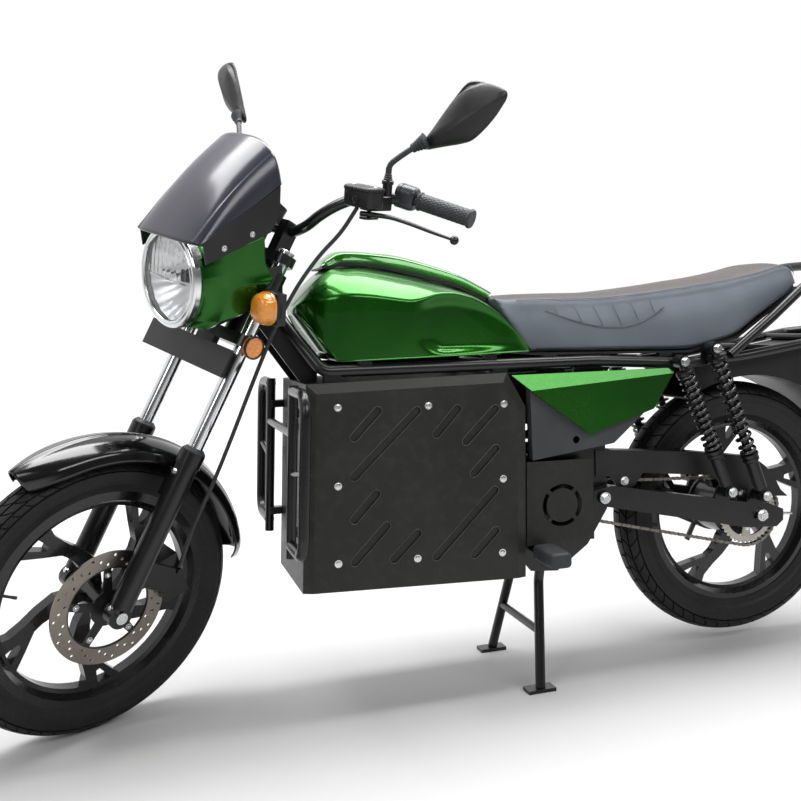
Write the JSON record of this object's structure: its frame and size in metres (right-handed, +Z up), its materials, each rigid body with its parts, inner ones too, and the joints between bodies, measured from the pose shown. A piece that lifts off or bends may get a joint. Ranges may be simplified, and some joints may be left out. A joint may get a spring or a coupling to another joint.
{
  "type": "electric motorcycle",
  "caption": "Electric commuter motorcycle with a side-panelled battery box, cast wheels, telescopic fork, dual seat and centre stand.",
  "frame": {"origin": "middle of the machine's box at floor level, the machine standing upright on its centre stand", "axes": "+X forward, +Y to the machine's left, +Z up"},
  "size_m": [2.117, 0.7949, 1.4317],
  "materials": {
    "black_frame": "satin",
    "black_box": "powder coat",
    "cell_block": "matte",
    "motor_casting": "cast",
    "candy_green": "candy gloss",
    "seat_leather": "satin",
    "dark_plastic": "matte",
    "grey_plastic": "satin",
    "black_rubber": "matte",
    "bright_steel": "brushed",
    "spring_steel": "gloss",
    "chain_steel": "worn",
    "red_lens": "gloss",
    "amber_lens": "gloss",
    "chrome_tube": "polished",
    "gloss_black": "gloss",
    "chrome_ring": "polished",
    "clear_glass": "clear",
    "smoked_screen": "smoked",
    "tyre_rubber": "matte",
    "black_alloy": "semi-gloss"
  },
  "bodies": {
    "chassis": {"frame": "black_frame", "battery_box": "black_box", "battery_pack": "cell_block", "box_covers": "black_box", "motor": "motor_casting", "motor_covers": "black_box", "tank": "candy_green", "tank_strip": "candy_green", "seat": "seat_leather", "seat_base": "dark_plastic", "side_panels": "candy_green", "lower_covers": "grey_plastic", "crash_guard": "black_frame", "footpegs": "black_rubber", "swingarm": "black_frame", "rear_axle": "bright_steel", "shock_bodies": "black_frame", "shock_springs": "spring_steel", "chain": "chain_steel", "chain_guard": "dark_plastic", "brake_panel": "motor_casting", "rear_fender": "dark_plastic", "grab_rail": "black_frame", "tail_light": "red_lens", "rear_indicators": "amber_lens"},
    "steering": {"lower_yoke": "black_frame", "upper_yoke": "black_frame", "stanchions": "chrome_tube", "fork_legs": "black_frame", "front_axle": "bright_steel", "brake_caliper": "black_frame", "brake_hose": "black_rubber", "front_fender": "gloss_black", "headlight_shell": "chrome_ring", "headlight_reflector": "chrome_ring", "headlight_lens": "clear_glass", "lamp_brackets": "black_frame", "front_indicators": "amber_lens", "reflectors": "amber_lens", "cowl": "candy_green", "screen_plates": "dark_plastic", "windscreen": "smoked_screen", "instrument": "dark_plastic", "plate_board": "dark_plastic", "handlebar": "black_frame", "grips": "black_rubber", "bar_controls": "dark_plastic", "levers": "black_frame", "mirrors": "dark_plastic"},
    "front_wheel": {"front_tyre": "tyre_rubber", "front_rim": "black_alloy", "brake_disc": "bright_steel"},
    "rear_wheel": {"rear_tyre": "tyre_rubber", "rear_rim": "black_alloy", "rear_sprocket": "bright_steel"},
    "centre_stand": {"centre_stand": "black_frame"}
  },
  "joints": [
    {"name": "steering_turn", "type": "hinge", "parent": "chassis", "child": "steering", "pos_m": [0.75818, -0.0105, 0.27522], "axis": [-0.4695, 0, 0.8829], "range_deg": [-69, 7]},
    {"name": "front_wheel_spin", "type": "hinge", "parent": "steering", "child": "front_wheel", "pos_m": [0.78846, 0.0101, 0.29132], "axis": [-0.4548, 0.8572, -0.2418], "continuous": true},
    {"name": "rear_wheel_spin", "type": "hinge", "parent": "chassis", "child": "rear_wheel", "pos_m": [-0.6965, -0.0105, 0.33], "axis": [0, 1, 0], "continuous": true},
    {"name": "centre_stand_pivot", "type": "hinge", "parent": "chassis", "child": "centre_stand", "pos_m": [-0.1615, -0.0105, 0.27], "axis": [0, 1, 0], "range_deg": [0, 75]}
  ]
}
